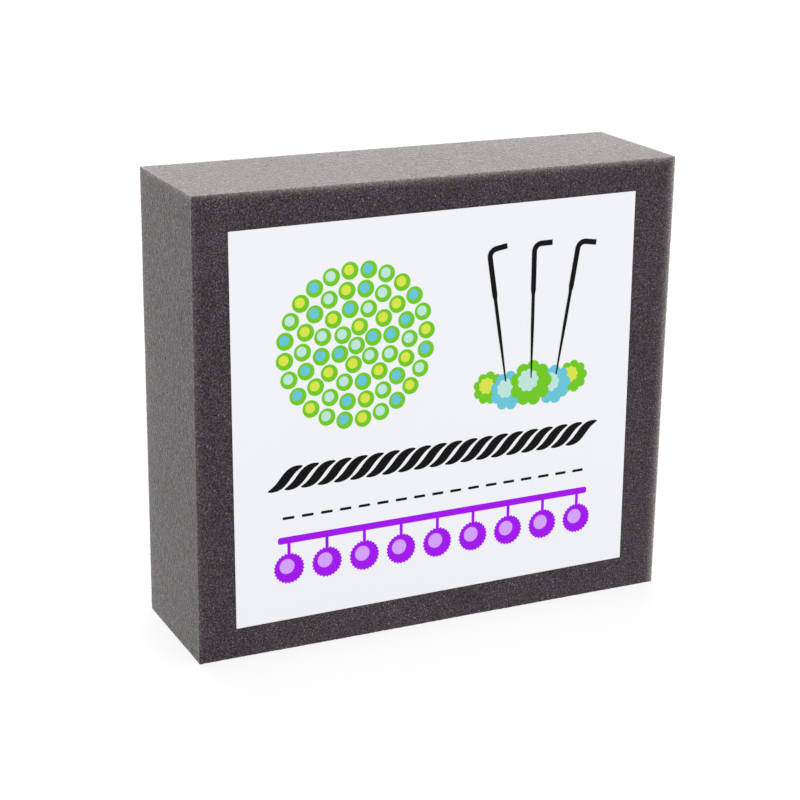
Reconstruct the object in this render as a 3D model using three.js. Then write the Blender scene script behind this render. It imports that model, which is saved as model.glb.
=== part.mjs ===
// Needle felting mat: a cut block of charcoal foam standing on its long edge,
// with a paper label glued to its front face.
// Millimetres, +Z up. X runs along the width, and the label faces -Y.
// The origin is the middle of the edge face that the block stands on.
import * as THREE from "three";
import { RoundedBoxGeometry } from "three/addons/geometries/RoundedBoxGeometry.js";

// Foam block
const FOAM_WIDTH = 107;
const FOAM_HEIGHT = 96.5;
const FOAM_THICKNESS = 30.4;
const FOAM_EDGE_RADIUS = 0.6;
const FOAM_EDGE_STEPS = 3;

// Bare foam left around the label on the front face
const BORDER_LEFT = 7.5;
const BORDER_RIGHT = 9;
const BORDER_TOP = 6.9;
const BORDER_BOTTOM = 7;

// Label: paper on a coat of glue that stops just short of the paper's edge
const PAPER_THICKNESS = 0.12;
const GLUE_THICKNESS = 0.04;
const GLUE_INSET = 0.5;
const LABEL_TILT_DEGREES = 0.5;

// What follows from them
const LABEL_WIDTH = FOAM_WIDTH - BORDER_LEFT - BORDER_RIGHT;
const LABEL_HEIGHT = FOAM_HEIGHT - BORDER_TOP - BORDER_BOTTOM;
const LABEL_CENTRE_X = (BORDER_LEFT - BORDER_RIGHT) / 2;
const LABEL_CENTRE_Z = BORDER_BOTTOM + LABEL_HEIGHT / 2;
const FOAM_FRONT_Y = -FOAM_THICKNESS / 2;

const foamMaterial = new THREE.MeshStandardMaterial({
  color: 0x4a4549,
  roughness: 1,
  metalness: 0,
});
const paperMaterial = new THREE.MeshStandardMaterial({
  color: 0xf3f4f8,
  roughness: 0.6,
  metalness: 0,
});
const glueMaterial = new THREE.MeshStandardMaterial({
  color: 0xe9e6da,
  roughness: 0.35,
  metalness: 0,
});

function namedMesh(name, geometry, material) {
  const mesh = new THREE.Mesh(geometry, material);
  mesh.name = name;
  return mesh;
}

// The block, its cut edges a little soft
function foamBlock() {
  const geometry = new RoundedBoxGeometry(
    FOAM_WIDTH,
    FOAM_THICKNESS,
    FOAM_HEIGHT,
    FOAM_EDGE_STEPS,
    FOAM_EDGE_RADIUS,
  );
  const mesh = namedMesh("foam_block", geometry, foamMaterial);
  mesh.position.z = FOAM_HEIGHT / 2;
  return mesh;
}

// The coat of glue, its back on the foam's front face
function labelGlue() {
  const geometry = new THREE.BoxGeometry(
    LABEL_WIDTH - 2 * GLUE_INSET,
    GLUE_THICKNESS,
    LABEL_HEIGHT - 2 * GLUE_INSET,
  );
  const mesh = namedMesh("label_glue", geometry, glueMaterial);
  mesh.position.y = -GLUE_THICKNESS / 2;
  return mesh;
}

// The paper, its back on the glue
function labelPaper() {
  const geometry = new THREE.BoxGeometry(LABEL_WIDTH, PAPER_THICKNESS, LABEL_HEIGHT);
  const mesh = namedMesh("label_paper", geometry, paperMaterial);
  mesh.position.y = -GLUE_THICKNESS - PAPER_THICKNESS / 2;
  return mesh;
}

// Glue and paper together, stuck on by hand a little out of square
function label() {
  const group = new THREE.Group();
  group.add(labelGlue(), labelPaper());
  group.position.set(LABEL_CENTRE_X, FOAM_FRONT_Y, LABEL_CENTRE_Z);
  group.rotation.y = THREE.MathUtils.degToRad(-LABEL_TILT_DEGREES);
  return group;
}

const feltingMat = new THREE.Group();
feltingMat.add(foamBlock(), label());

export default feltingMat;
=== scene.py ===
"""Dresses a needle felting mat: a charcoal foam block with a paper label on its front.

The foam is cut into a fine mesh and its open cells are sunk into it, the label is a sheet of paper
with inks laid on it, and a pale floor and soft lamps show the mat standing on its long edge.
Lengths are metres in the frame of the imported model, with +Z up and the label facing -Y, and angles are
degrees where no comment says otherwise.
"""

import logging
import math
from collections.abc import Iterator
from contextlib import contextmanager
from dataclasses import dataclass, field
from enum import Enum
from typing import Any

import bpy
from mathutils import Matrix, Vector


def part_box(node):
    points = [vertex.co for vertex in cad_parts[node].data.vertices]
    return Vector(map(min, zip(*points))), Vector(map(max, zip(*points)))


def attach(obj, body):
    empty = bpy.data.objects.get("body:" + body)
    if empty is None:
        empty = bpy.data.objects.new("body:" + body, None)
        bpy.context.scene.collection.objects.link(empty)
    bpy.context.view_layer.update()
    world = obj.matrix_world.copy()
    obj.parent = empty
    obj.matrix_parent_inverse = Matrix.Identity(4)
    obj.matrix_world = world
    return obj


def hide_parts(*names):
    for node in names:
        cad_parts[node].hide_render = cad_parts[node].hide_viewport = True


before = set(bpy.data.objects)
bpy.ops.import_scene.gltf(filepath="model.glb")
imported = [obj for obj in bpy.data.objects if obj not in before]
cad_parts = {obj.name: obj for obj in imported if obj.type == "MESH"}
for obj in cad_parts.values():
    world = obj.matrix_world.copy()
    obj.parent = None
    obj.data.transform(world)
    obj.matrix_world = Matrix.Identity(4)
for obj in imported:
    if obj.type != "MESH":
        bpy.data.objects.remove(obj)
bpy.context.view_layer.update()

Tree = bpy.types.NodeTree
Socket = bpy.types.NodeSocket
Material = bpy.types.Material
Piece = bpy.types.Object

log = logging.getLogger("felting_mat")

MM = 0.001
BODY = "root"
# The name of the unfolded map that lay_out_map lays on the foam
EXPORT_MAP = "OFBake"
# The values between which most of a noise lies
NOISE_SPAN = {"From Min": 0.3, "From Max": 0.7}


class Ink(Enum):
    """The inks of the label's print, by their sRGB colour."""

    BLACK = "#0B0B0C"
    GREEN = "#74CC26"
    LIME = "#DDE84F"
    AQUA = "#6CC9DC"
    MINT = "#C3EAE0"
    VIOLET = "#A512F0"
    LILAC = "#D9A6FF"


def linear(hex_colour: str) -> tuple[float, float, float, float]:
    """Turns an sRGB hex colour into linear light.

    Args:
        hex_colour: The colour as #RRGGBB.

    Returns:
        Red, green, blue and an alpha of 1.
    """
    values = [int(hex_colour[i : i + 2], 16) / 255 for i in (1, 3, 5)]
    red, green, blue = (
        v / 12.92 if v <= 0.04045 else ((v + 0.055) / 1.055) ** 2.4 for v in values
    )
    return red, green, blue, 1.0


def add_node(
    tree: Tree, kind: str, inputs: dict[str | int, Any] | None = None, **settings: Any
) -> bpy.types.Node:
    """Adds a node, with its settings and its inputs set or linked.

    Args:
        tree: The node tree that the node joins.
        kind: The node's type.
        inputs: For each input, by name or number, a value or the output that feeds it.
        **settings: Properties of the node.

    Returns:
        The new node.
    """
    node = tree.nodes.new(kind)
    for name, value in settings.items():
        setattr(node, name, value)
    for name, value in (inputs or {}).items():
        if isinstance(value, Socket):
            tree.links.new(value, node.inputs[name])
        else:
            node.inputs[name].default_value = value
    return node


def new_material(name: str) -> tuple[Material, Tree]:
    """Makes an empty node material.

    Args:
        name: The material's name.

    Returns:
        The material and its cleared node tree.
    """
    material = bpy.data.materials.new(name)
    material.use_nodes = True
    material.node_tree.nodes.clear()
    return material, material.node_tree


def close_surface(tree: Tree, shader: bpy.types.Node) -> None:
    """Links a shader to the material's output."""
    add_node(tree, "ShaderNodeOutputMaterial", {"Surface": shader.outputs[0]})


@dataclass(frozen=True)
class OpenCellFoam:
    """Soft polyurethane foam, slabstock cut with a band knife, dyed charcoal.

    The knife lays cells open, so seen straight on the eye looks into the cells, whose colour darkens
    with depth as painted shade, and seen along the surface it meets only lit strut tips: the faces pale
    towards a low view. Painted light lightens the upper edges of the upright faces, the right edges of
    the large ones and the back edges of the small ones, and a fainter lightening, partly frayed fibres
    and partly painted light, runs along all edges but the lowest. Some of the larger cut cells keep a
    glossy window with a painted glint and others are holes painted dark as shade, and the dye took a
    little warmer here and cooler there. Single strands of the cell frame are too fine to show, so the
    fibres are drawn coarser and stand for small bunches of them.
    """

    # The block before its cells open, and how far these are drawn out along its thickness
    middle: Vector
    half_size: Vector
    rise: float
    # Colours, with painted shade for pits and holes and painted light for edges and glints, and what the two
    # casts of the dye multiply them by
    strut_colour: str = "#625860"
    pit_grain_and_shade_colour: str = "#312C30"
    painted_edge_light_colour: str = "#908C86"
    painted_glint_colour: str = "#8E8A8C"
    hole_shade_colour: str = "#151315"
    dye_warm: tuple[float, float, float] = (0.98, 1.0, 0.89)
    dye_cool: tuple[float, float, float] = (1.02, 1.0, 1.11)
    # Depths under the flat sides, between which strut tips give way to pits painted darker as shade
    highest: float = -0.02 * MM
    deepest: float = 0.4 * MM
    # Fibres: their size, how unevenly they stand, how high they stand and how few are tips
    fibre: float = 0.3 * MM
    fray: float = 0.52
    openness: float = 0.69
    sparseness: float = 1.7
    # Patches of tone and of dye
    blotch: float = 5 * MM
    blotch_tones: tuple[float, float] = (0.95, 1.05)
    dye_patch: float = 2.5 * MM
    # Painted edge light, its fainter part along all edges partly frayed fibres: how strong it is, how far in
    # from an edge it reaches and how uneven it is
    soft_edge_fray_and_light: float = 0.18
    small_edge_light: float = 0.6
    right_edge_light: float = 1.25
    back_edge_light: float = 0.27
    edge_light_fade: float = 0.5 * MM
    right_light_fade: float = 0.62 * MM
    back_light_fade: float = 2.5 * MM
    tuft: float = 0.35
    # Where a face or a stretch of one begins and where it is full, in half sizes from the middle
    large_rim: tuple[float, float] = (0.97, 0.99)
    small_rim: tuple[float, float] = (0.992, 0.997)
    end_rim: tuple[float, float] = (0.92, 0.97)
    back_rim: tuple[float, float] = (0.0, 0.5)
    foot_rim: tuple[float, float] = (-0.97, -0.9)
    left_rim: tuple[float, float] = (-1.2, -0.4)
    # Larger cut cells, windows with a painted glint and holes painted dark as shade: their spacing, their
    # radius, how much of it is full, and the share of holes
    cell_spacing: float = 0.6 * MM
    cell_radius: float = 0.185 * MM
    cell_core: float = 0.6
    hole_share: float = 0.43
    # Gloss of fibres and of windows, and the sheen that pales the faces
    felted: float = 0.95
    glossy: float = 0.4
    specular: float = 0.15
    sheen: float = 0.8
    sheen_roughness: float = 0.35
    sheen_colour: str = "#FEFBF6"

    def build(self) -> Material:
        """Makes the material.

        Returns:
            The foam, read from Object coordinates.
        """
        material, tree = new_material("polyurethane_foam_band_knife_cut")
        place = add_node(tree, "ShaderNodeTexCoord").outputs["Object"]
        centred = add_node(tree, "ShaderNodeMapping", {"Vector": place, "Location": -self.middle}).outputs[0]
        sides = self.to_sides(tree, centred)
        depth, edge = self.under_faces(tree, sides)
        # Painted edge light, and cut cells with a painted glint or painted shade
        painted_edge_light = self.paint_edge_light(tree, centred, sides, edge)
        window, hole = self.cut_cells(tree, place)
        gloss = add_node(
            tree, "ShaderNodeMapRange", {"Value": window, "To Min": self.felted, "To Max": self.glossy}
        )
        shader = add_node(
            tree,
            "ShaderNodeBsdfPrincipled",
            {
                "Base Color": self.colour(tree, place, depth, painted_edge_light, window, hole),
                "Roughness": gloss.outputs[0],
                "Specular IOR Level": self.specular,
                "Sheen Weight": self.sheen,
                "Sheen Roughness": self.sheen_roughness,
                "Sheen Tint": linear(self.sheen_colour),
            },
        )
        close_surface(tree, shader)
        return material

    def to_sides(self, tree: Tree, centred: Socket) -> list[Socket]:
        """Measures the way from the surface to the nearer one of each pair of the block's flat sides.

        Args:
            tree: The material's node tree.
            centred: The place on the surface, from the block's middle.

        Returns:
            The ways across, deep and up, in metres.
        """
        away = add_node(tree, "ShaderNodeVectorMath", {0: centred}, operation="ABSOLUTE")
        inside = add_node(
            tree,
            "ShaderNodeVectorMath",
            {0: tuple(self.half_size), 1: away.outputs[0]},
            operation="SUBTRACT",
        )
        return list(add_node(tree, "ShaderNodeSeparateXYZ", {0: inside.outputs[0]}).outputs)

    def under_faces(self, tree: Tree, sides: list[Socket]) -> tuple[Socket, Socket]:
        """Works out how deep the surface lies under the block's flat sides, and how far from its edges.

        Of the ways to the three pairs of sides, the smallest is the depth under the side itself and the
        second smallest is the way to the closest edge.

        Args:
            tree: The material's node tree.
            sides: The ways to the three pairs of sides.

        Returns:
            The depth and the way to the edge, in metres.
        """
        across, deep, up = sides
        near = add_node(tree, "ShaderNodeMath", {0: across, 1: deep}, operation="MINIMUM").outputs[0]
        far = add_node(tree, "ShaderNodeMath", {0: across, 1: deep}, operation="MAXIMUM").outputs[0]
        depth = add_node(tree, "ShaderNodeMath", {0: near, 1: up}, operation="MINIMUM").outputs[0]
        second = add_node(tree, "ShaderNodeMath", {0: far, 1: up}, operation="MINIMUM").outputs[0]
        edge = add_node(tree, "ShaderNodeMath", {0: near, 1: second}, operation="MAXIMUM").outputs[0]
        return depth, edge

    def draw_out(self, tree: Tree, place: Socket, size: float) -> Socket:
        """Counts places in features of a size, drawn out along the thickness as the foam rose.

        Args:
            tree: The material's node tree.
            place: The place on the surface.
            size: The size of a feature across.

        Returns:
            The place, counted in features.
        """
        return add_node(
            tree,
            "ShaderNodeMapping",
            {"Vector": place, "Scale": (1 / size, 1 / (size * self.rise), 1 / size)},
        ).outputs[0]

    @staticmethod
    def step_up(tree: Tree, value: Socket, rim: tuple[float, float], height: float = 1.0) -> Socket:
        """Ramps from 0 up between two values.

        Args:
            tree: The material's node tree.
            value: What is looked at.
            rim: Where the ramp leaves 0, and where it reaches its height.
            height: How high it goes.

        Returns:
            The ramp.
        """
        return add_node(
            tree,
            "ShaderNodeMapRange",
            {"Value": value, "From Min": rim[0], "From Max": rim[1], "To Max": height},
        ).outputs[0]

    @staticmethod
    def edge_light_falloff(tree: Tree, way: Socket, fade: float) -> Socket:
        """Gives the share of painted edge light at a way from an edge: 1 on it, about a third at the fade."""
        ways = add_node(tree, "ShaderNodeMath", {0: way, 1: -1 / fade}, operation="MULTIPLY")
        return add_node(tree, "ShaderNodeMath", {0: ways.outputs[0]}, operation="EXPONENT").outputs[0]

    def paint_edge_light(self, tree: Tree, centred: Socket, sides: list[Socket], edge: Socket) -> Socket:
        """Works out how much painted light lightens the colour along an edge.

        Painted light lies along the upper edges of the upright faces, along the right edges of the two large
        ones and along the back edges of the two small ones, and on the large ones the upper strip grows from
        the left. A fainter lightening along all edges, partly frayed fibres and partly painted light, is left
        off the lower edges, at the shaded foot.

        Args:
            tree: The material's node tree.
            centred: The place on the surface, from the block's middle.
            sides: The ways to the three pairs of sides.
            edge: The way to the closest edge.

        Returns:
            The share of painted edge light, about 1 on the lit edges and less in the fainter lightening.
        """
        share = add_node(
            tree, "ShaderNodeVectorMath", {0: centred, 1: tuple(self.half_size)}, operation="DIVIDE"
        )
        across, deep, up = add_node(tree, "ShaderNodeSeparateXYZ", {0: share.outputs[0]}).outputs
        large = add_node(tree, "ShaderNodeMath", {0: deep}, operation="ABSOLUTE").outputs[0]
        small = add_node(tree, "ShaderNodeMath", {0: across}, operation="ABSOLUTE").outputs[0]
        on_large = self.step_up(tree, large, self.large_rim)
        on_small = self.step_up(tree, small, self.small_rim, self.small_edge_light)
        from_left = self.step_up(tree, across, self.left_rim)
        large_from_left = add_node(tree, "ShaderNodeMath", {0: on_large, 1: from_left}, operation="MULTIPLY")
        upright = add_node(tree, "ShaderNodeMath", {0: large_from_left.outputs[0], 1: on_small}, operation="MAXIMUM")
        at_top = self.step_up(tree, up, self.end_rim)
        at_right = self.step_up(tree, across, self.end_rim, self.right_edge_light)
        at_back = self.step_up(tree, deep, self.back_rim, self.back_edge_light)
        # Painted light along the upper, right and back edges
        lit_edges = (
            (upright.outputs[0], at_top, self.edge_light_falloff(tree, sides[2], self.edge_light_fade)),
            (on_large, at_right, self.edge_light_falloff(tree, sides[0], self.right_light_fade)),
            (on_small, at_back, self.edge_light_falloff(tree, sides[1], self.back_light_fade)),
        )
        painted_edge_light = 0.0
        for face, end, edge_falloff in lit_edges:
            part = add_node(tree, "ShaderNodeMath", {0: face, 1: end}, operation="MULTIPLY").outputs[0]
            part = add_node(tree, "ShaderNodeMath", {0: part, 1: edge_falloff}, operation="MULTIPLY").outputs[0]
            painted_edge_light = add_node(tree, "ShaderNodeMath", {0: part, 1: painted_edge_light}, operation="MAXIMUM").outputs[0]
        # A fainter lightening along all edges, partly frayed fibres and partly painted light, kept off the
        # foot
        standing = self.edge_light_falloff(tree, edge, self.edge_light_fade)
        off_foot = self.step_up(tree, up, self.foot_rim, self.soft_edge_fray_and_light)
        soft = add_node(tree, "ShaderNodeMath", {0: standing, 1: off_foot}, operation="MULTIPLY")
        return add_node(tree, "ShaderNodeMath", {0: painted_edge_light, 1: soft.outputs[0]}).outputs[0]

    def cut_cells(self, tree: Tree, place: Socket) -> tuple[Socket, Socket]:
        """Scatters cut cells: glossy windows with a painted glint, and holes painted dark as shade.

        Args:
            tree: The material's node tree.
            place: The place on the surface.

        Returns:
            How much of a window, with its painted glint, and how much of a hole, painted dark as shade, there
            is, from 0 to 1.
        """
        cells = add_node(
            tree,
            "ShaderNodeTexVoronoi",
            {"Vector": self.draw_out(tree, place, self.cell_spacing), "Scale": 1.0},
        )
        radius = self.cell_radius / self.cell_spacing
        disc = self.step_up(tree, cells.outputs["Distance"], (radius, radius * self.cell_core))
        chance = add_node(tree, "ShaderNodeSeparateColor", {"Color": cells.outputs["Color"]}).outputs
        torn_out = add_node(
            tree, "ShaderNodeMath", {0: chance["Green"], 1: self.hole_share}, operation="LESS_THAN"
        )
        hole = add_node(tree, "ShaderNodeMath", {0: disc, 1: torn_out.outputs[0]}, operation="MULTIPLY")
        left = add_node(tree, "ShaderNodeMath", {0: disc, 1: hole.outputs[0]}, operation="SUBTRACT")
        window = add_node(
            tree, "ShaderNodeMath", {0: left.outputs[0], 1: chance["Red"]}, operation="MULTIPLY"
        )
        return window.outputs[0], hole.outputs[0]

    def colour(
        self, tree: Tree, place: Socket, depth: Socket, painted_edge_light: Socket, window: Socket, hole: Socket
    ) -> Socket:
        """Colours the foam's fibres and cells, with painted edge light, painted glints in windows and painted
        shade in holes.

        Args:
            tree: The material's node tree.
            place: The place on the surface.
            depth: The depth under the flat sides.
            painted_edge_light: The share of painted edge light.
            window: How much of a cell window there is, which gets a painted glint.
            hole: How much of a hole there is, painted dark as shade.

        Returns:
            The colour.
        """
        fibres = add_node(
            tree,
            "ShaderNodeTexNoise",
            {"Vector": self.draw_out(tree, place, self.fibre), "Scale": 1.0, "Detail": 0.5},
        ).outputs["Fac"]
        colour = self.struts_and_pit_shade(tree, depth, fibres)
        for cast in (self.blotches(tree, place), self.dye(tree, place)):
            colour = add_node(
                tree,
                "ShaderNodeMix",
                {0: 1.0, 6: colour, 7: cast},
                data_type="RGBA",
                blend_type="MULTIPLY",
            ).outputs[2]
        # A painted glint in the windows, then painted shade in the holes
        for share, over in ((window, self.painted_glint_colour), (hole, self.hole_shade_colour)):
            colour = add_node(
                tree, "ShaderNodeMix", {0: share, 6: colour, 7: linear(over)}, data_type="RGBA"
            ).outputs[2]
        # Painted edge light, made uneven by the fibres, added last
        edge_light_unevenness = add_node(
            tree,
            "ShaderNodeMapRange",
            {"Value": fibres, **NOISE_SPAN, "To Min": 1 - self.tuft, "To Max": 1 + self.tuft},
        )
        uneven_edge_light = add_node(tree, "ShaderNodeMath", {0: painted_edge_light, 1: edge_light_unevenness.outputs[0]}, operation="MULTIPLY")
        return add_node(
            tree,
            "ShaderNodeVectorMath",
            {0: uneven_edge_light.outputs[0], 1: linear(self.painted_edge_light_colour)[:3], 2: colour},
            operation="MULTIPLY_ADD",
        ).outputs[0]

    def struts_and_pit_shade(self, tree: Tree, depth: Socket, fibres: Socket) -> Socket:
        """Colours the tips of the fibres that stand out, and the pits between them, which darken with depth
        as painted shade.

        Args:
            tree: The material's node tree.
            depth: The depth under the flat sides.
            fibres: The noise that frays the surface.

        Returns:
            The colour.
        """
        # Painted shade: the deeper under the flat sides, the nearer the colour comes to the pit colour
        sunk = self.step_up(tree, depth, (self.highest, self.deepest))
        frayed = add_node(
            tree,
            "ShaderNodeMapRange",
            {
                "Value": fibres,
                **NOISE_SPAN,
                "To Min": self.openness - self.fray,
                "To Max": self.openness + self.fray,
            },
        )
        raised = add_node(
            tree, "ShaderNodeMath", {0: frayed.outputs[0], 1: sunk}, operation="SUBTRACT", use_clamp=True
        )
        tip = add_node(
            tree, "ShaderNodeMath", {0: raised.outputs[0], 1: self.sparseness}, operation="POWER"
        )
        return add_node(
            tree,
            "ShaderNodeMix",
            {0: tip.outputs[0], 6: linear(self.pit_grain_and_shade_colour), 7: linear(self.strut_colour)},
            data_type="RGBA",
        ).outputs[2]

    def blotches(self, tree: Tree, place: Socket) -> Socket:
        """Lightens and darkens the foam in wide, faint blotches.

        Args:
            tree: The material's node tree.
            place: The place on the surface.

        Returns:
            What the colour is multiplied by.
        """
        noise = add_node(
            tree, "ShaderNodeTexNoise", {"Vector": place, "Scale": 1 / self.blotch, "Detail": 3.0}
        )
        dark, light = self.blotch_tones
        return add_node(
            tree,
            "ShaderNodeMapRange",
            {"Value": noise.outputs["Fac"], **NOISE_SPAN, "To Min": dark, "To Max": light},
        ).outputs[0]

    def dye(self, tree: Tree, place: Socket) -> Socket:
        """Gives the foam a warmer and a cooler cast in turn.

        Args:
            tree: The material's node tree.
            place: The place on the surface.

        Returns:
            What the colour is multiplied by.
        """
        noise = add_node(
            tree, "ShaderNodeTexNoise", {"Vector": place, "Scale": 1 / self.dye_patch, "Detail": 1.0}
        )
        cast = add_node(tree, "ShaderNodeMapRange", {"Value": noise.outputs["Fac"], **NOISE_SPAN})
        return add_node(
            tree,
            "ShaderNodeMix",
            {0: cast.outputs[0], 6: (*self.dye_warm, 1), 7: (*self.dye_cool, 1)},
            data_type="RGBA",
        ).outputs[2]


@dataclass(frozen=True)
class ThinFinish:
    """A thin, even layer whose tone, gloss and tooth all follow one fine mottle."""

    name: str
    colour: str
    # The mottle: its size, its finer steps and how strong they are, and between which values most of it lies
    mottle: float
    steps: float
    step_share: float
    span: tuple[float, float]
    # What the mottle does: the share that is left of the colour where it is darkest, gloss and tooth
    darkest: float
    roughness: tuple[float, float]
    specular: float
    tooth: float = 0.0
    tooth_strength: float = 0.5

    def build(self) -> Material:
        """Makes the material.

        Returns:
            The layer, read from Object coordinates.
        """
        material, tree = new_material(self.name)
        place = add_node(tree, "ShaderNodeTexCoord").outputs["Object"]
        mottle = add_node(
            tree,
            "ShaderNodeTexNoise",
            {"Vector": place, "Scale": 1 / self.mottle, "Detail": self.steps, "Roughness": self.step_share},
        ).outputs["Fac"]
        least, most = self.span
        tone = add_node(
            tree,
            "ShaderNodeMapRange",
            {"Value": mottle, "From Min": least, "From Max": most, "To Min": self.darkest, "To Max": 1.0},
        )
        colour = add_node(
            tree,
            "ShaderNodeMix",
            {0: 1.0, 6: linear(self.colour), 7: tone.outputs[0]},
            data_type="RGBA",
            blend_type="MULTIPLY",
        )
        smooth, rough = self.roughness
        gloss = add_node(tree, "ShaderNodeMapRange", {"Value": mottle, "To Min": smooth, "To Max": rough})
        surface = {
            "Base Color": colour.outputs[2],
            "Roughness": gloss.outputs[0],
            "Specular IOR Level": self.specular,
        }
        if self.tooth:
            bump = add_node(
                tree,
                "ShaderNodeBump",
                {"Height": mottle, "Distance": self.tooth, "Strength": self.tooth_strength},
            )
            surface["Normal"] = bump.outputs[0]
        close_surface(tree, add_node(tree, "ShaderNodeBsdfPrincipled", surface))
        return material


@dataclass(frozen=True)
class LabelPaper(ThinFinish):
    """Uncoated white label paper, calendered smooth: an even cool white with a faint fibre tooth.

    Real fibres are too fine to show, so the tooth is drawn coarser.
    """

    name: str = "label_paper_calendered_white"
    colour: str = "#F3F4F8"
    mottle: float = 0.35 * MM
    steps: float = 4.0
    step_share: float = 0.6
    span: tuple[float, float] = (0.2, 0.8)
    darkest: float = 0.985
    roughness: tuple[float, float] = (0.5, 0.66)
    specular: float = 0.25
    tooth: float = 0.006 * MM


@dataclass(frozen=True)
class PrintInk(ThinFinish):
    """Offset ink on uncoated paper: solid colour with the faint mottle of ink soaking into fibres."""

    mottle: float = 0.5 * MM
    steps: float = 3.0
    step_share: float = 0.5
    span: tuple[float, float] = (0.25, 0.75)
    darkest: float = 0.93
    roughness: tuple[float, float] = (0.38, 0.52)
    specular: float = 0.08


@dataclass(frozen=True)
class LabelGlue(ThinFinish):
    """Acrylic label glue, roller coated: a milky, slightly shiny film seen only at the paper's edge."""

    name: str = "acrylic_glue_roller_coated"
    colour: str = "#E9E6DA"
    mottle: float = 1.2 * MM
    steps: float = 2.0
    step_share: float = 0.5
    span: tuple[float, float] = (0.3, 0.7)
    darkest: float = 0.9
    roughness: tuple[float, float] = (0.25, 0.45)
    specular: float = 0.5


def seen_directly(tree: Tree) -> Socket:
    """Tells what the camera sees, also in gloss or through glass, from what only lights the mat.

    Args:
        tree: The node tree.

    Returns:
        1 where it is seen and 0 where it lights.
    """
    ray = add_node(tree, "ShaderNodeLightPath").outputs
    seen = ray["Is Camera Ray"]
    for other in ("Is Glossy Ray", "Is Transmission Ray"):
        seen = add_node(tree, "ShaderNodeMath", {0: seen, 1: ray[other]}, operation="MAXIMUM").outputs[0]
    return seen


def start_fresh() -> None:
    """Leaves nothing selected, so that an operator touches only what is added next."""
    bpy.ops.object.select_all(action="DESELECT")


def pick_only(piece: Piece) -> None:
    """Selects one piece and makes it the active one.

    Args:
        piece: The piece that the next operators act on.
    """
    start_fresh()
    piece.select_set(True)
    bpy.context.view_layer.objects.active = piece


@contextmanager
def editing() -> Iterator[None]:
    """Opens the active piece's mesh to the operators in a with block."""
    bpy.ops.object.mode_set(mode="EDIT")
    yield
    bpy.ops.object.mode_set(mode="OBJECT")


def unpick(kind: str) -> None:
    """Leaves nothing of the active piece's mesh picked.

    Args:
        kind: What is picked next: VERT, EDGE or FACE.
    """
    with editing():
        bpy.ops.mesh.select_mode(type=kind)
        bpy.ops.mesh.select_all(action="DESELECT")


def finish_with(piece: Piece, kind: str, **settings: Any) -> None:
    """Adds a modifier to a piece and applies it.

    Args:
        piece: The piece.
        kind: The modifier's type.
        **settings: The modifier's properties.
    """
    pick_only(piece)
    modifier = piece.modifiers.new(kind.lower(), kind)
    for name, value in settings.items():
        setattr(modifier, name, value)
    bpy.ops.object.modifier_apply(modifier=modifier.name)


def settle(piece: Piece) -> None:
    """Moves a piece's place, turn and scale into its mesh."""
    pick_only(piece)
    bpy.ops.object.transform_apply(location=True, rotation=True, scale=True)


def join_all(pieces: list[Piece], name: str) -> Piece:
    """Joins pieces into one.

    Args:
        pieces: What is joined. The first one stays.
        name: The joined piece's name.

    Returns:
        The joined piece.
    """
    start_fresh()
    for piece in pieces:
        piece.select_set(True)
    bpy.context.view_layer.objects.active = pieces[0]
    bpy.ops.object.join()
    joined = bpy.context.object
    joined.name = joined.data.name = name
    return joined


def relief_texture(name: str, kind: str, size: float, **settings: Any) -> bpy.types.Texture:
    """Makes a procedural texture for a displacement.

    Args:
        name: The texture's name.
        kind: The texture's type.
        size: The size of its features.
        **settings: The texture's other properties.

    Returns:
        The texture.
    """
    texture = bpy.data.textures.new(name, kind)
    texture.noise_scale = size
    for key, value in settings.items():
        setattr(texture, key, value)
    return texture


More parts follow.
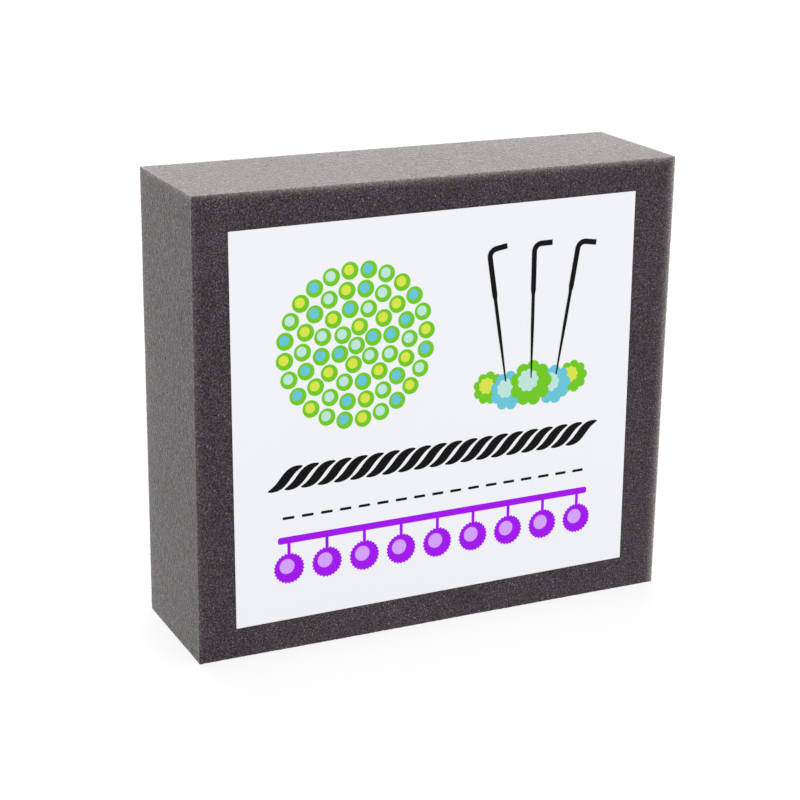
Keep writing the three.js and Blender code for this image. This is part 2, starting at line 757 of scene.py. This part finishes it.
@dataclass
class FoamPad:
    """The foam block: cut square, its edges soft, its surface open cells."""

    low: Vector
    high: Vector
    # The mesh: patches that are halved again and again, then smoothed
    patch: float = 7.0 * MM
    patch_halvings: int = 5
    edge_softening: int = 4
    softening_share: float = 0.5
    # The slow waviness of the sawn sides, the open cells, and how far both are drawn out as the foam rose
    saw_wave: float = 22 * MM
    saw_depth: float = 0.12 * MM
    cell: float = 0.42 * MM
    cell_depth: float = 0.32 * MM
    rise: float = 1.5
    # How far the sides stand proud before they are sunk
    skin: float = 0.2 * MM
    skin_under_label: float = 0.1 * MM
    # How fully the foam fills its shape
    firmness: float = 1.0
    # The unfolded map: the bend past which two faces are parted, and the gap between the parts
    map_bend: float = 60
    map_gap: float = 0.004

    def build(self) -> Piece:
        """Cuts the block and roughens it.

        Returns:
            The finished foam.
        """
        pad = self.cut_block()
        self.lay_out_map(pad)
        finish_with(
            pad,
            "SUBSURF",
            subdivision_type="SIMPLE",
            levels=self.patch_halvings,
            render_levels=self.patch_halvings,
        )
        finish_with(pad, "SMOOTH", factor=self.softening_share, iterations=self.edge_softening)
        waves = relief_texture("saw_wave", "CLOUDS", self.saw_wave)
        self.sink(pad, waves, self.saw_depth, level=1.0)
        # These weights give nothing at the walls between cells and most in the middle of a cell.
        cells = relief_texture("open_cells", "VORONOI", self.cell, weight_1=-1.0, weight_2=1.0)
        self.sink(pad, cells, -self.cell_depth, level=0.0)
        pick_only(pad)
        bpy.ops.object.shade_smooth()
        low, high = self.sawn_box()
        finish = OpenCellFoam((low + high) / 2, (high - low) / 2, self.rise)
        pad.data.materials.append(finish.build())
        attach(pad, BODY)
        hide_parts("foam_block")
        return pad

    def sawn_box(self) -> tuple[Vector, Vector]:
        """Gives the block's box before its cells open, a little proud because they sink its sides."""
        low = self.low - Vector((self.skin, self.skin_under_label, 0))
        return low, self.high + Vector((self.skin, self.skin, self.skin))

    def cut_block(self) -> Piece:
        """Cuts a block of the foam's size into nearly square patches.

        Returns:
            The block, a plain box.
        """
        start_fresh()
        low, high = self.sawn_box()
        size = high - low
        bpy.ops.mesh.primitive_cube_add(size=1, location=(low + high) / 2, scale=size)
        pad = bpy.context.object
        pad.name = pad.data.name = "foam_pad"
        settle(pad)
        with editing():
            for axis in range(3):
                patches = round(size[axis] / self.patch)
                normal = Vector((0, 0, 0))
                normal[axis] = 1
                for step in range(1, patches):
                    bpy.ops.mesh.select_all(action="SELECT")
                    place = low + normal * size[axis] * step / patches
                    bpy.ops.mesh.bisect(plane_co=place, plane_no=normal)
        return pad

    def lay_out_map(self, pad: Piece) -> None:
        """Unfolds the plain block's six sides into a map, while they are flat.

        Args:
            pad: The block.
        """
        pad.data.uv_layers.new(name=EXPORT_MAP)
        with editing():
            bpy.ops.mesh.select_all(action="SELECT")
            bpy.ops.uv.smart_project(angle_limit=math.radians(self.map_bend), island_margin=self.map_gap)

    def sink(self, pad: Piece, texture: bpy.types.Texture, depth: float, level: float) -> None:
        """Presses a texture into the foam, never above its flat sides.

        Args:
            pad: The foam.
            texture: The pattern.
            depth: How far a full step of the texture moves the surface.
            level: The texture's value that doesn't move.
        """
        # Read from an empty that is stretched along the thickness, the pattern is drawn out as the foam rose.
        start_fresh()
        bpy.ops.object.empty_add()
        risen = bpy.context.object
        risen.scale.y = self.rise
        bpy.context.view_layer.update()
        finish_with(
            pad,
            "DISPLACE",
            texture=texture,
            texture_coords="OBJECT",
            texture_coords_object=risen,
            direction="NORMAL",
            strength=depth,
            mid_level=level,
        )
        bpy.data.objects.remove(risen)


@dataclass
class LabelSheet:
    """Where the label lies: its size, and the turn and place that stand a flat drawing on its front."""

    node: Piece
    width: float = 0.0
    height: float = 0.0
    thickness: float = 0.0
    stand: Matrix = field(default_factory=Matrix)

    def __post_init__(self) -> None:
        """Reads the label's corners from its CAD solid."""
        corners = [v.co for v in self.node.data.vertices]
        front = min(c.y for c in corners)
        low_left = min(corners, key=lambda c: c.x + c.z).copy()
        low_right = max(corners, key=lambda c: c.x - c.z).copy()
        high_left = min(corners, key=lambda c: c.x - c.z).copy()
        low_left.y = low_right.y = high_left.y = front
        across, up = low_right - low_left, high_left - low_left
        self.width, self.height = across.length, up.length
        self.thickness = max(c.y for c in corners) - front
        across.normalize()
        up.normalize()
        out = across.cross(up)
        centre = (low_right + high_left) / 2
        self.stand = Matrix.Translation(centre) @ Matrix((across, up, out)).transposed().to_4x4()

    def stand_up(self, piece: Piece) -> None:
        """Stands a piece, drawn flat about the origin with Z outwards, on the label's front."""
        piece.matrix_world = self.stand @ piece.matrix_basis
        settle(piece)


@dataclass
class Press:
    """Draws flat shapes in the label's own plane, from its middle, and prints them on the paper.

    The layers of ink are thicker than real ones, so that they stay apart.
    """

    sheet: LabelSheet
    inks: dict[Ink, Material]
    ink_thickness: float = 0.006 * MM
    overprint: float = 0.008 * MM
    # How far the corners of a bar are blunted, as a share of its narrower side
    blunting: float = 0.35
    # The layers of a tuft: size and shift to the upper left, as shares of its radius, and ink
    tuft_layers: tuple[tuple[float, float, Ink], ...] = ((1.0, 0.0, Ink.VIOLET), (0.5, 0.14, Ink.LILAC))

    def bar(self, up: float, width: float, height: float, ink: Ink) -> Piece:
        """Draws a bar with blunted corners.

        Args:
            up: The middle's place upwards.
            width: The bar's size across.
            height: The bar's size upwards.
            ink: The bar's ink.

        Returns:
            The flat bar.
        """
        start_fresh()
        bpy.ops.mesh.primitive_plane_add(size=1, location=(0, up, 0))
        bar = bpy.context.object
        bar.scale = (width, height, 1)
        settle(bar)
        with editing():
            bpy.ops.mesh.select_all(action="SELECT")
            bpy.ops.mesh.bevel(offset=min(width, height) * self.blunting, segments=2, affect="VERTICES")
        bar.data.materials.append(self.inks[ink])
        return bar

    def tuft(self, radius: float, lobes: int, rim: tuple[float, ...]) -> Piece:
        """Draws a fluffy tuft at the origin: a lobed rim, and a paler middle printed over it.

        Args:
            radius: The tuft's radius.
            lobes: How many lobes go round the rim.
            rim: How far out each point of a lobe lies, as a share of the radius.

        Returns:
            The flat tuft, with room for two inks.
        """
        parts = []
        for layer, (size, shift, ink) in enumerate(self.tuft_layers):
            start_fresh()
            bpy.ops.mesh.primitive_circle_add(
                vertices=lobes * len(rim), radius=radius * size, fill_type="TRIFAN"
            )
            part = bpy.context.object
            for number, share in enumerate(rim):
                self.select_rim(part, number, len(rim))
                with editing():
                    bpy.ops.transform.resize(value=(share, share, 1), center_override=(0, 0, 0))
            part.location = (-shift * radius, shift * radius, layer * self.overprint)
            part.data.materials.append(self.inks[ink])
            settle(part)
            parts.append(part)
        return join_all(parts, "tuft")

    @staticmethod
    def select_rim(disc: Piece, first: int, every: int) -> None:
        """Selects every so many vertices of a flat disc's rim.

        Args:
            disc: The disc.
            first: The first one.
            every: The step from one to the next.
        """
        unpick("VERT")
        rim = [v for v in disc.data.vertices if v.co.length > 0]
        rim.sort(key=lambda v: math.atan2(v.co.y, v.co.x))
        for vertex in rim[first::every]:
            vertex.select = True

    @staticmethod
    def in_row(count: int, spacing: float) -> list[float]:
        """Gives the places across of so many copies in a row about the middle."""
        return [(step - (count - 1) / 2) * spacing for step in range(count)]

    def copy_to(self, shape: Piece, across: float, up: float, *inks: Ink, layer: int = 0) -> Piece:
        """Copies a shape to a place, in its own inks.

        Args:
            shape: The shape, drawn at the origin.
            across: The copy's place to the right.
            up: The copy's place upwards.
            *inks: The copy's inks, in the order of the shape's.
            layer: How many prints lie under the copy.

        Returns:
            The copy, with its own mesh.
        """
        copy = shape.copy()
        copy.data = shape.data.copy()
        bpy.context.collection.objects.link(copy)
        copy.location = (across, up, layer * self.overprint)
        for number, ink in enumerate(inks):
            copy.data.materials[number] = self.inks[ink]
        return copy

    def lay_ink(self, shapes: list[Piece], name: str, layer: int = 0) -> Piece:
        """Joins flat shapes into one print, gives it an ink's thickness and stands it on the paper.

        Args:
            shapes: The flat shapes.
            name: The print's name.
            layer: How many prints lie under it.

        Returns:
            The print.
        """
        for shape in shapes:
            settle(shape)
        ink = join_all(shapes, name)
        self.face_out(ink)
        finish_with(ink, "SOLIDIFY", thickness=self.ink_thickness, offset=1)
        ink.location.z = layer * self.overprint
        self.sheet.stand_up(ink)
        return ink

    @staticmethod
    def face_out(drawing: Piece) -> None:
        """Turns the faces of a flat drawing that look into the paper.

        Args:
            drawing: The drawing.
        """
        pick_only(drawing)
        unpick("FACE")
        for face in drawing.data.polygons:
            face.select = face.normal.z < 0
        with editing():
            bpy.ops.mesh.flip_normals()
            bpy.ops.mesh.select_mode(type="VERT")


@dataclass
class BallMat:
    """The print of a round mat of felt balls, ring by ring."""

    across: float = -18.5 * MM
    up: float = 15.5 * MM
    rings: int = 5
    ring_spacing: float = 3.9 * MM
    # How far each ring is turned against the one inside it, in radians
    twist: float = 0.35
    # A ball: its radius, and its rim's width and its middle's shift as shares of that
    radius: float = 1.85 * MM
    rim: float = 0.42
    shift: float = 0.1
    middles: tuple[Ink, ...] = (Ink.MINT, Ink.AQUA, Ink.LIME)

    def draw(self, press: Press) -> Piece:
        """Draws the mat.

        Args:
            press: What prints it.

        Returns:
            The print.
        """
        ball = self.felt_ball(press)
        shapes = []
        for ring in range(self.rings):
            # Each ring has room for six more balls than the one inside it.
            count = max(1, 6 * ring)
            for step in range(count):
                angle = 2 * math.pi * step / count + self.twist * ring
                across = self.across + ring * self.ring_spacing * math.cos(angle)
                up = self.up + ring * self.ring_spacing * math.sin(angle)
                middle = self.middles[(step + ring) % len(self.middles)]
                shapes.append(press.copy_to(ball, across, up, Ink.GREEN, middle))
        bpy.data.objects.remove(ball)
        return press.lay_ink(shapes, "print_ball_mat")

    def felt_ball(self, press: Press) -> Piece:
        """Draws a felt ball at the origin: a rim, and a paler middle that lies towards the upper left.

        Args:
            press: What prints it.

        Returns:
            The flat ball, with room for two inks.
        """
        start_fresh()
        bpy.ops.mesh.primitive_circle_add(vertices=28, radius=self.radius, fill_type="NGON")
        ball = bpy.context.object
        ball.data.materials.append(press.inks[Ink.GREEN])
        ball.data.materials.append(press.inks[Ink.MINT])
        with editing():
            bpy.ops.mesh.select_all(action="SELECT")
            bpy.ops.mesh.inset(thickness=self.radius * self.rim)
            bpy.ops.transform.translate(value=(-self.shift * self.radius, self.shift * self.radius, 0))
            ball.active_material_index = 1
            bpy.ops.object.material_slot_assign()
        return ball


@dataclass(frozen=True)
class Puff:
    """One puff of the wool: its place, its radius, its inks and how many prints lie under it."""

    across: float
    up: float
    radius: float
    rim: Ink
    middle: Ink
    layer: int


@dataclass
class WoolTuft:
    """The print of a tuft of wool, a row of puffs with softly lobed rims."""

    lobes: int = 9
    rim: tuple[float, ...] = (0.84, 0.94, 0.99, 1.0, 0.99, 0.94)
    puffs: tuple[Puff, ...] = (
        Puff(11.5 * MM, 2.6 * MM, 3.6 * MM, Ink.GREEN, Ink.LIME, layer=0),
        Puff(31.5 * MM, 2.6 * MM, 3.6 * MM, Ink.GREEN, Ink.LIME, layer=0),
        Puff(16.2 * MM, 1.4 * MM, 4.3 * MM, Ink.AQUA, Ink.MINT, layer=2),
        Puff(26.8 * MM, 1.4 * MM, 4.3 * MM, Ink.AQUA, Ink.MINT, layer=2),
        Puff(21.5 * MM, 2.4 * MM, 5.0 * MM, Ink.GREEN, Ink.MINT, layer=4),
    )

    def draw(self, press: Press) -> Piece:
        """Draws the tuft.

        Args:
            press: What prints it.

        Returns:
            The print.
        """
        shapes = []
        for puff in self.puffs:
            shape = press.tuft(puff.radius, self.lobes, self.rim)
            shapes.append(press.copy_to(shape, puff.across, puff.up, puff.rim, puff.middle, layer=puff.layer))
            bpy.data.objects.remove(shape)
        return press.lay_ink(shapes, "print_wool_tuft")


@dataclass
class FeltingNeedles:
    """The print of three felting needles whose points meet in the tuft, over all its puffs."""

    points: tuple[float, ...] = (15.5 * MM, 21.5 * MM, 27.5 * MM)
    turns: tuple[float, ...] = (9.0, 0.0, -9.0)
    up: float = 3.5 * MM
    layer: int = 6
    # Widths
    point: float = 0.3 * MM
    blade: float = 0.75 * MM
    shank: float = 1.15 * MM
    # Lengths from the point up
    tip_length: float = 0.02 * MM
    taper_length: float = 11 * MM
    blade_length: float = 7 * MM
    shoulder_length: float = 1.2 * MM
    shank_length: float = 8 * MM
    # The crank at the top: the radius of its bend and its length
    bend: float = 1.6 * MM
    crank: float = 2.6 * MM

    def draw(self, press: Press) -> Piece:
        """Draws the needles.

        Args:
            press: What prints them.

        Returns:
            The print.
        """
        needle = self.needle(press)
        shapes = []
        for across, turn in zip(self.points, self.turns):
            copy = press.copy_to(needle, across, self.up, Ink.BLACK)
            copy.rotation_euler.z = math.radians(turn)
            shapes.append(copy)
        bpy.data.objects.remove(needle)
        return press.lay_ink(shapes, "print_needles", layer=self.layer)

    def needle(self, press: Press) -> Piece:
        """Draws one felting needle upright, its point at the origin and its crank to the right.

        Args:
            press: What prints it.

        Returns:
            The flat needle.
        """
        stretches = (
            (self.taper_length, self.blade / self.point),
            (self.blade_length, 1.0),
            (self.shoulder_length, self.shank / self.blade),
            (self.shank_length, 1.0),
        )
        start_fresh()
        bpy.ops.mesh.primitive_plane_add(size=1)
        needle = bpy.context.object
        needle.scale = (self.point, self.tip_length, 1)
        settle(needle)
        unpick("EDGE")
        for edge in needle.data.edges:
            edge.select = all(needle.data.vertices[v].co.y > 0 for v in edge.vertices)
        reach = 0.0
        with editing():
            for length, widening in stretches:
                bpy.ops.mesh.extrude_region_move(TRANSFORM_OT_translate={"value": (0, length, 0)})
                reach += length
                bpy.ops.transform.resize(value=(widening, 1, 1), center_override=(0, reach, 0))
            bpy.ops.mesh.spin(
                steps=8,
                angle=math.radians(90),
                center=(self.bend, reach + self.tip_length / 2, 0),
                axis=(0, 0, 1),
            )
            bpy.ops.mesh.extrude_region_move(TRANSFORM_OT_translate={"value": (self.crank, 0, 0)})
            bpy.ops.mesh.select_mode(type="VERT")
        needle.data.materials.append(press.inks[Ink.BLACK])
        return needle


@dataclass
class YarnTwist:
    """The print of a cord, a row of slanting plies."""

    plies: int = 20
    spacing: float = 3.6 * MM
    up: float = -10.5 * MM
    length: float = 8.4 * MM
    width: float = 2.0 * MM
    slant: float = 50
    # How far the ends of a ply are drawn over into an S, as a share of its width
    swing: float = 0.7

    def draw(self, press: Press) -> Piece:
        """Draws the cord.

        Args:
            press: What prints it.

        Returns:
            The print.
        """
        start_fresh()
        bpy.ops.mesh.primitive_circle_add(vertices=32, radius=1, fill_type="NGON")
        ply = bpy.context.object
        ply.scale = (self.length / 2, self.width / 2, 1)
        settle(ply)
        for vertex in ply.data.vertices:
            vertex.co.y -= self.swing * self.width * (2 * vertex.co.x / self.length) ** 3
        ply.rotation_euler.z = math.radians(self.slant)
        settle(ply)
        ply.data.materials.append(press.inks[Ink.BLACK])
        row = press.in_row(self.plies, self.spacing)
        shapes = [press.copy_to(ply, across, self.up, Ink.BLACK) for across in row]
        bpy.data.objects.remove(ply)
        return press.lay_ink(shapes, "print_yarn_twist")


@dataclass
class RunningStitches:
    """The print of a line of running stitches."""

    count: int = 17
    spacing: float = 4.2 * MM
    up: float = -19 * MM
    length: float = 2.6 * MM
    width: float = 0.6 * MM

    def draw(self, press: Press) -> Piece:
        """Draws the stitches.

        Args:
            press: What prints them.

        Returns:
            The print.
        """
        stitch = press.bar(0, self.length, self.width, Ink.BLACK)
        row = press.in_row(self.count, self.spacing)
        shapes = [press.copy_to(stitch, across, self.up, Ink.BLACK) for across in row]
        bpy.data.objects.remove(stitch)
        return press.lay_ink(shapes, "print_stitches")


@dataclass
class PompomTrim:
    """The print of a braid with pompoms, finely cut at the rim, that hang from it by short threads."""

    up: float = -23.8 * MM
    braid_length: float = 72 * MM
    braid_width: float = 1.5 * MM
    thread_width: float = 0.7 * MM
    drop: float = 6.2 * MM
    pompoms: int = 9
    spacing: float = 8.4 * MM
    radius: float = 3.4 * MM
    lobes: int = 26
    rim: tuple[float, ...] = (1.0, 0.91)

    def draw(self, press: Press) -> Piece:
        """Draws the trim.

        Args:
            press: What prints it.

        Returns:
            The print.
        """
        pompom = press.tuft(self.radius, self.lobes, self.rim)
        thread = press.bar(0, self.thread_width, self.drop, Ink.VIOLET)
        shapes = [press.bar(self.up, self.braid_length, self.braid_width, Ink.VIOLET)]
        for across in press.in_row(self.pompoms, self.spacing):
            shapes.append(press.copy_to(thread, across, self.up - self.drop / 2, Ink.VIOLET, layer=1))
            shapes.append(press.copy_to(pompom, across, self.up - self.drop, Ink.VIOLET, Ink.LILAC, layer=2))
        for pattern in (pompom, thread):
            bpy.data.objects.remove(pattern)
        return press.lay_ink(shapes, "print_pompom_trim")


@dataclass
class Label:
    """The paper label and the print on it."""

    sheet: LabelSheet
    # How far the paper's cut edges are eased
    easing: float = 0.02 * MM

    def build(self) -> list[Piece]:
        """Makes the paper and lays its print on it.

        Returns:
            The label's pieces.
        """
        inks = {ink: PrintInk(f"offset_ink_{ink.name.lower()}", ink.value).build() for ink in Ink}
        press = Press(self.sheet, inks)
        pieces = [
            self.paper(),
            BallMat().draw(press),
            WoolTuft().draw(press),
            FeltingNeedles().draw(press),
            YarnTwist().draw(press),
            RunningStitches().draw(press),
            PompomTrim().draw(press),
        ]
        for piece in pieces:
            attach(piece, BODY)
        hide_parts("label_paper")
        return pieces

    def paper(self) -> Piece:
        """Makes the sheet of paper.

        Returns:
            The paper.
        """
        start_fresh()
        bpy.ops.mesh.primitive_plane_add(size=1)
        paper = bpy.context.object
        paper.name = paper.data.name = "label_sheet"
        paper.scale = (self.sheet.width, self.sheet.height, 1)
        settle(paper)
        finish_with(paper, "SOLIDIFY", thickness=self.sheet.thickness, offset=-1)
        finish_with(paper, "BEVEL", width=self.easing, segments=2)
        self.sheet.stand_up(paper)
        paper.data.materials.append(LabelPaper().build())
        return paper


def coat_glue() -> Piece:
    """Gives the label's coat of glue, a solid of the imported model, its finish.

    Returns:
        The glue.
    """
    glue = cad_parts["label_glue"]
    glue.data.materials.clear()
    glue.data.materials.append(LabelGlue().build())
    return glue


class Way(Enum):
    """The side that a lamp shines from, as a direction from the mat."""

    BACK = (0.27, 1.0, 0.42)
    FRONT = (0.2, -1.0, 0.5)


@dataclass(frozen=True)
class SoftLamp:
    """A far, wide lamp that lights the mat and the floor evenly."""

    way: Way
    strength: float
    spread: float

    def build(self) -> Piece:
        """Hangs the lamp.

        Returns:
            The lamp.
        """
        start_fresh()
        bpy.ops.object.light_add(type="SUN", location=Vector(self.way.value).normalized())
        lamp = bpy.context.object
        lamp.name = f"lamp_{self.way.name.lower()}"
        lamp.rotation_euler = Vector(self.way.value).to_track_quat("Z", "Y").to_euler()
        # At a strength of 1, a white surface that faces the lamp is lit to white.
        lamp.data.energy = self.strength * math.pi
        lamp.data.angle = math.radians(self.spread)
        return lamp


@dataclass
class Studio:
    """The pale floor, the soft lamps and the white surroundings."""

    floor_side: float = 8.0
    # The floor's tone and glow as they light the mat, and then as they are seen
    floor_bounce: str = "#787878"
    floor_light: float = 0.54
    floor_shade: str = "#898989"
    floor_glow: float = 0.77
    # The light from all around, and the lamps
    world_strength: float = 0.85
    lamps: tuple[SoftLamp, ...] = (
        SoftLamp(Way.BACK, strength=0.82, spread=60),
        SoftLamp(Way.FRONT, strength=0.22, spread=60),
    )

    def build(self) -> None:
        """Lays the floor, hangs the lamps and lights the surroundings."""
        self.lay_floor()
        self.light_surroundings()
        for lamp in self.lamps:
            log.info("%s hung", lamp.build().name)

    def lay_floor(self) -> None:
        """Lays the floor that the mat stands on."""
        start_fresh()
        bpy.ops.mesh.primitive_plane_add(size=self.floor_side)
        floor = bpy.context.object
        floor.name = floor.data.name = "floor"
        material, tree = new_material("matt_white_backdrop_paper")
        # Seen straight on by the camera or in gloss, the paper is lifted to white, and a shadow still shows.
        seen = seen_directly(tree)
        paper = add_node(
            tree,
            "ShaderNodeMix",
            {0: seen, 6: linear(self.floor_bounce), 7: linear(self.floor_shade)},
            data_type="RGBA",
        )
        matt = add_node(tree, "ShaderNodeBsdfDiffuse", {"Color": paper.outputs[2]})
        glow = add_node(
            tree,
            "ShaderNodeMapRange",
            {"Value": seen, "To Min": self.floor_light, "To Max": self.floor_glow},
        )
        white = add_node(tree, "ShaderNodeEmission", {"Strength": glow.outputs[0]})
        shader = add_node(tree, "ShaderNodeAddShader", {0: matt.outputs[0], 1: white.outputs[0]})
        close_surface(tree, shader)
        floor.data.materials.append(material)

    def light_surroundings(self) -> None:
        """Makes the surroundings white to the eye and softly lit to the mat."""
        world = bpy.data.worlds.new("white_surroundings")
        world.use_nodes = True
        tree = world.node_tree
        tree.nodes.clear()
        strength = add_node(
            tree,
            "ShaderNodeMapRange",
            {"Value": seen_directly(tree), "To Min": self.world_strength, "To Max": 1.0},
        )
        light = add_node(
            tree, "ShaderNodeBackground", {"Color": (1, 1, 1, 1), "Strength": strength.outputs[0]}
        )
        add_node(tree, "ShaderNodeOutputWorld", {"Surface": light.outputs[0]})
        bpy.context.scene.world = world


@dataclass
class ViewingCamera:
    """The camera, above the mat's left front corner and a little tilted."""

    place: tuple[float, float, float] = (-0.17495, -0.36197, 0.17640)
    nearest: float = 0.01
    azimuth: float = -25.50
    elevation: float = 18.09
    roll: float = 0.82
    # In millimetres, as on a lens
    lens: float = 89.29
    sensor: float = 36.0

    def build(self) -> None:
        """Sets up the camera."""
        start_fresh()
        bpy.ops.object.camera_add()
        camera = bpy.context.object
        camera.name = "viewing_camera"
        turn = (
            Matrix.Rotation(math.radians(self.azimuth), 4, "Z")
            @ Matrix.Rotation(math.radians(90 - self.elevation), 4, "X")
            @ Matrix.Rotation(math.radians(self.roll), 4, "Z")
        )
        camera.matrix_world = Matrix.Translation(self.place) @ turn
        camera.data.lens = self.lens
        camera.data.sensor_width = self.sensor
        camera.data.clip_start = self.nearest
        bpy.context.scene.camera = camera


def main() -> None:
    """Builds the mat and its surroundings, and reports each piece."""
    logging.basicConfig(level=logging.INFO, format="%(name)s: %(message)s")
    bpy.context.scene.view_settings.view_transform = "Standard"
    ViewingCamera().build()
    low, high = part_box("foam_block")
    foam = FoamPad(low, high).build()
    label = Label(LabelSheet(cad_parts["label_paper"])).build()
    for piece in (foam, *label, coat_glue()):
        log.info("%s: %d faces", piece.name, len(piece.data.polygons))
    Studio().build()


if __name__ == "__main__":
    main()
